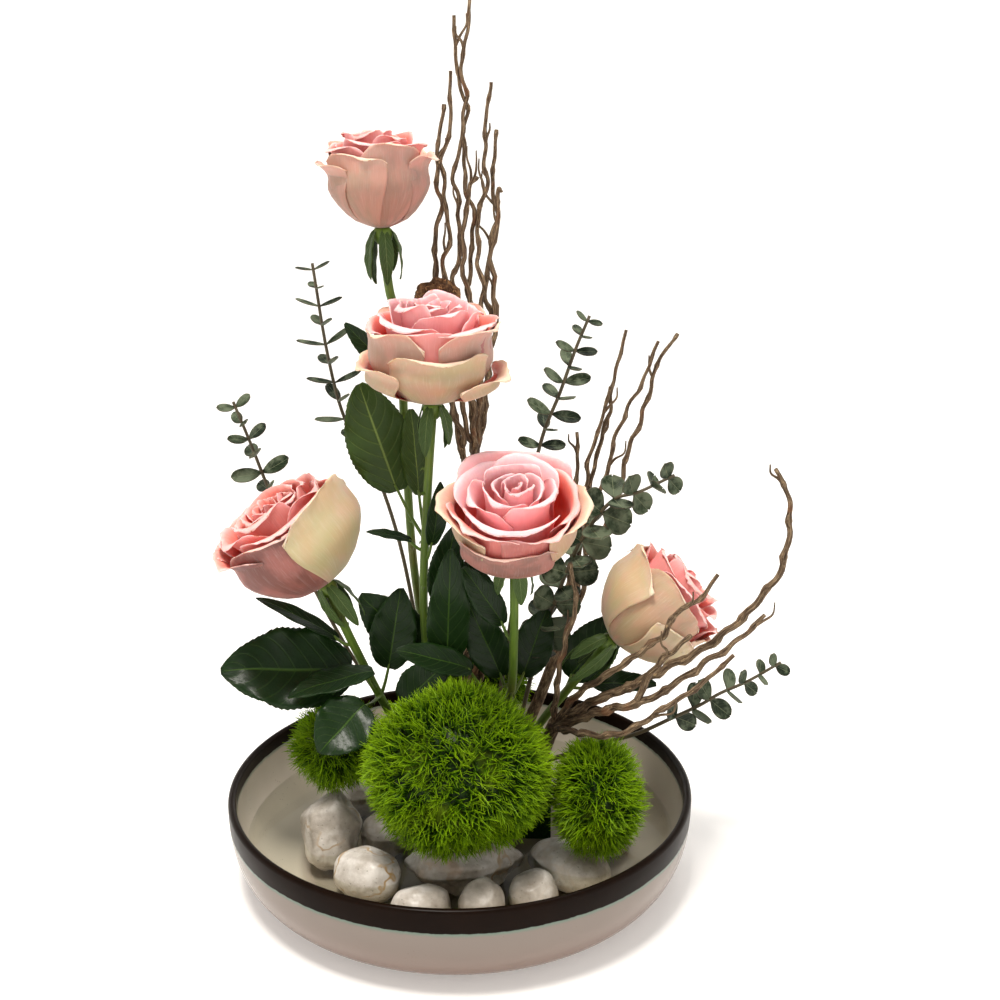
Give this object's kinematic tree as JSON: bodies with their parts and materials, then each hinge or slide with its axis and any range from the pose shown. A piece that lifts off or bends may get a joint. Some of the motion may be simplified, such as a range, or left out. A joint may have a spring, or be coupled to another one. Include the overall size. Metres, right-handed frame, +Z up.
{
  "type": "rose centerpiece",
  "caption": "Fresh roses, eucalyptus, curly willow and green dianthus standing in foam in a shallow round bowl of water and pebbles",
  "frame": {"origin": "middle of the bowl's flat base", "axes": "+Z up along the tall stems, -Y towards the front of the arrangement, +X to its right seen from the front"},
  "size_m": [0.348, 0.28, 0.5081],
  "materials": {
    "glazed_bowl": "glossy cream glaze with a dark brown band round the rim",
    "water": "clear and still",
    "floral_foam": "matte, dark green, wet",
    "pebble": "pale, partly polished",
    "petals": "soft petals, coral pink paling to cream with green guard petals",
    "rose_green": "satin dark green leaves, brighter green stems",
    "eucalyptus": "matte dark blue-green with a pale bloom",
    "willow_bark": "rough grey-brown bark",
    "dianthus": "fine bright green needles"
  },
  "bodies": {
    "root": {"bowl": "glazed_bowl", "dianthus_back": "dianthus", "dianthus_front": "dianthus", "dianthus_left": "dianthus", "dianthus_right": "dianthus", "eucalyptus_back_left": "eucalyptus", "eucalyptus_centre": "eucalyptus", "eucalyptus_far_left": "eucalyptus", "eucalyptus_low_right": "eucalyptus", "eucalyptus_round": "eucalyptus", "floral_foam": "floral_foam", "pebble_back": "pebble", "pebble_back_left": "pebble", "pebble_back_right": "pebble", "pebble_front_left": "pebble", "pebble_front_right": "pebble", "pebble_large_oval": "pebble", "pebble_right": "pebble", "pebble_rough_centre": "pebble", "pebble_rough_left": "pebble", "pebble_round_left": "pebble", "pebble_small_front": "pebble", "pebble_veined": "pebble", "rose_bloom_front": "petals", "rose_bloom_left": "petals", "rose_bloom_right": "petals", "rose_bloom_top": "petals", "rose_bloom_upper": "petals", "rose_stem_front": "rose_green", "rose_stem_left": "rose_green", "rose_stem_right": "rose_green", "rose_stem_top": "rose_green", "rose_stem_upper": "rose_green", "water": "water", "willow_sweeping": "willow_bark", "willow_tall": "willow_bark", "willow_upright": "willow_bark"}
  },
  "joints": []
}
